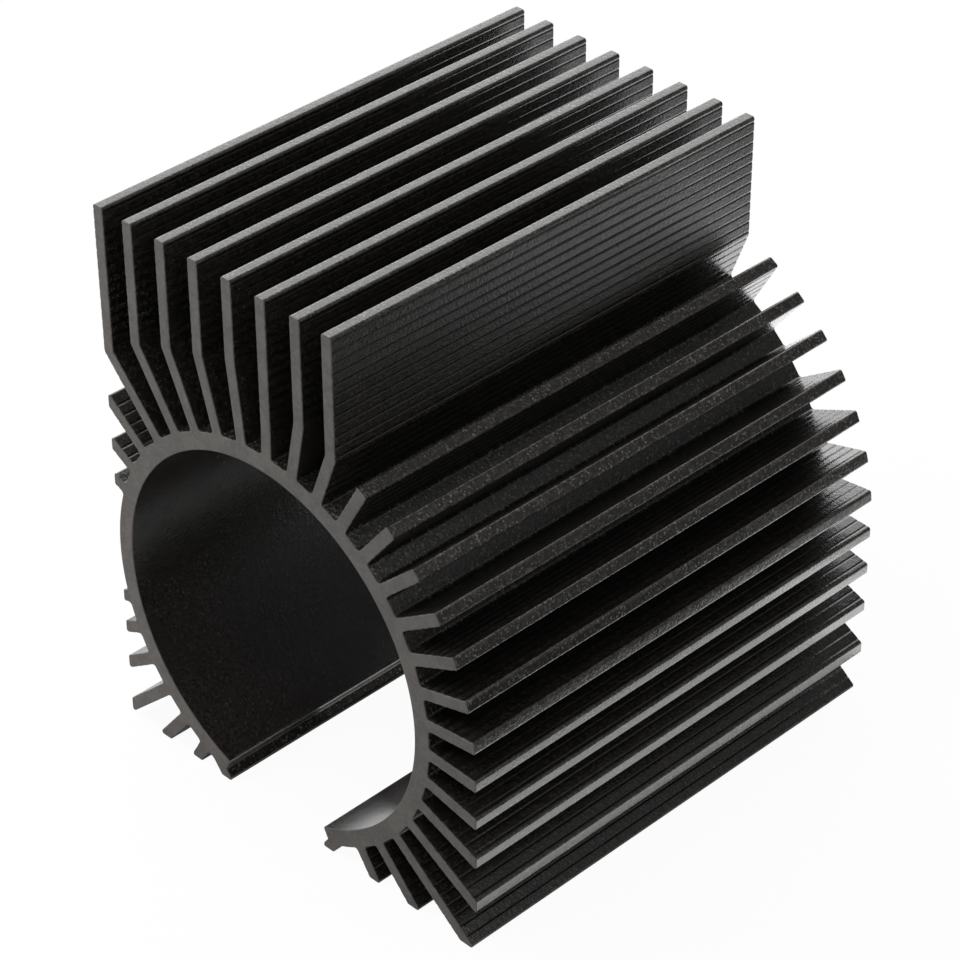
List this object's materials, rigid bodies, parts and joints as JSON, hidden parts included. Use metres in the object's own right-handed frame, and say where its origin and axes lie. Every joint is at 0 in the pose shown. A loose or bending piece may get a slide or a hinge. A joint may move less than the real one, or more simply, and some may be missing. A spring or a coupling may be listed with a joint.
{
  "type": "motor heat sink",
  "caption": "Clip-on heat sink for a small round motor: a split ring with tall upright fins over the top, short radial fins round its sides, and small feet beside the slit",
  "frame": {"origin": "on the axis of the motor bore, halfway along the extrusion", "axes": "+Y runs along the bore, from the end that the picture shows to the far end. +Z points the way the tall upright fins stand, away from the slit. +X points to the side where the plain radial fins are longest"},
  "size_m": [0.045, 0.0496, 0.0543],
  "materials": {
    "black_anodised": "black anodised, matt on the sawn ends, with fine lengthwise die lines along the fins"
  },
  "bodies": {
    "root": {"heat_sink": "black_anodised"}
  },
  "joints": []
}
